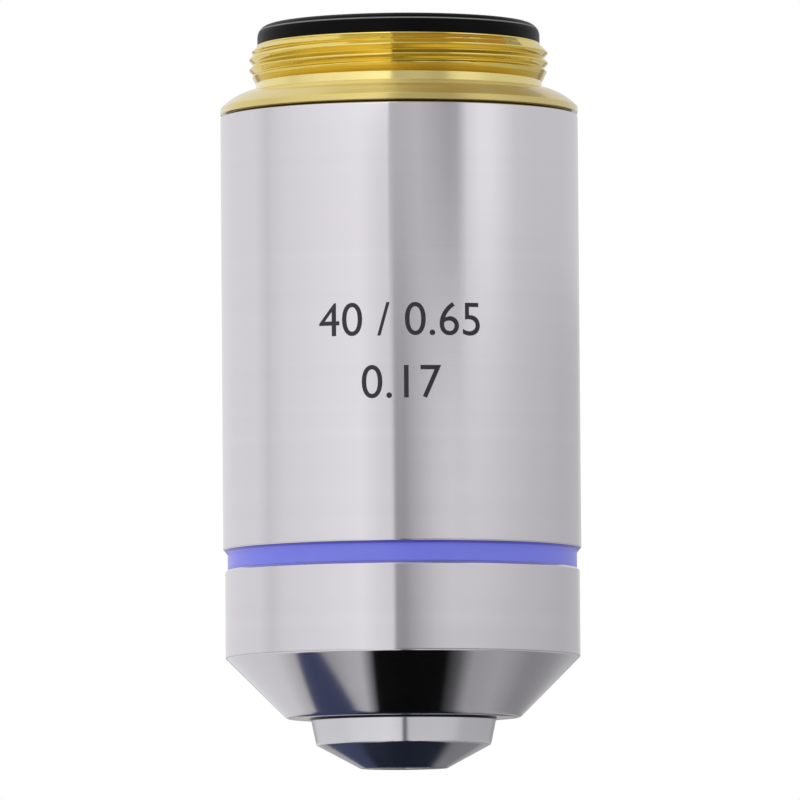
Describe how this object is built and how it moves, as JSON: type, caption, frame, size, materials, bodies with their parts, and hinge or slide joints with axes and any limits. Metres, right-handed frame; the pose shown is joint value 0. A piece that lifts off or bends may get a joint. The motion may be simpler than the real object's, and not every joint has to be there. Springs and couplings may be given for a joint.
{
  "type": "microscope objective",
  "caption": "Microscope objective with a standard screw mount, satin sleeve, colour band, cone and a sprung nose; its lens groups ride in a sliding barrel.",
  "frame": {"origin": "on the optical axis, in the plane of the shoulder that seats on the nosepiece", "axes": "+Z along the optical axis through the thread, towards the eyepiece; -Y towards the camera"},
  "size_m": [0.0242, 0.0242, 0.0505],
  "materials": {
    "mount_brass": "lacquered",
    "black_anodised": "black anodised",
    "satin_chrome": "satin",
    "nose_chrome": "polished",
    "blue_enamel": "enamelled",
    "inner_brass": "turned",
    "blackened_brass": "matt black",
    "small_steel": "plain",
    "spring_steel": "bright",
    "crown_glass": "coated",
    "flint_glass": "coated"
  },
  "bodies": {
    "housing": {"thread_mount": "mount_brass", "lock_screws": "small_steel", "rear_stop_ring": "black_anodised", "outer_sleeve": "satin_chrome", "colour_band": "blue_enamel", "front_sleeve": "satin_chrome", "guide_tube": "inner_brass", "guide_pin": "small_steel", "return_spring": "spring_steel"},
    "nose": {"lens_barrel": "inner_brass", "nose_cap": "nose_chrome", "front_lens": "crown_glass", "second_lens": "crown_glass", "front_pair_cell": "blackened_brass", "front_pair_flint": "flint_glass", "front_pair_crown": "crown_glass", "front_group_ring": "blackened_brass", "front_spacer": "blackened_brass", "triplet_cell": "blackened_brass", "triplet_front": "flint_glass", "triplet_middle": "crown_glass", "triplet_rear": "flint_glass", "middle_spacer": "blackened_brass", "middle_pair_cell": "blackened_brass", "middle_pair_crown": "crown_glass", "middle_pair_flint": "flint_glass", "long_spacer": "blackened_brass", "rear_pair_cell": "blackened_brass", "rear_pair_flint": "flint_glass", "rear_pair_crown": "crown_glass", "rear_lens_cell": "blackened_brass", "rear_lens": "crown_glass", "barrel_lock_ring": "blackened_brass"}
  },
  "joints": [
    {"name": "nose_retract", "type": "slide", "parent": "housing", "child": "nose", "axis": [0, 0, 1], "range_m": [0, 0.0015], "stiffness_N_per_m": 400, "springref_m": -0.004, "deforming": ["return_spring"]}
  ]
}
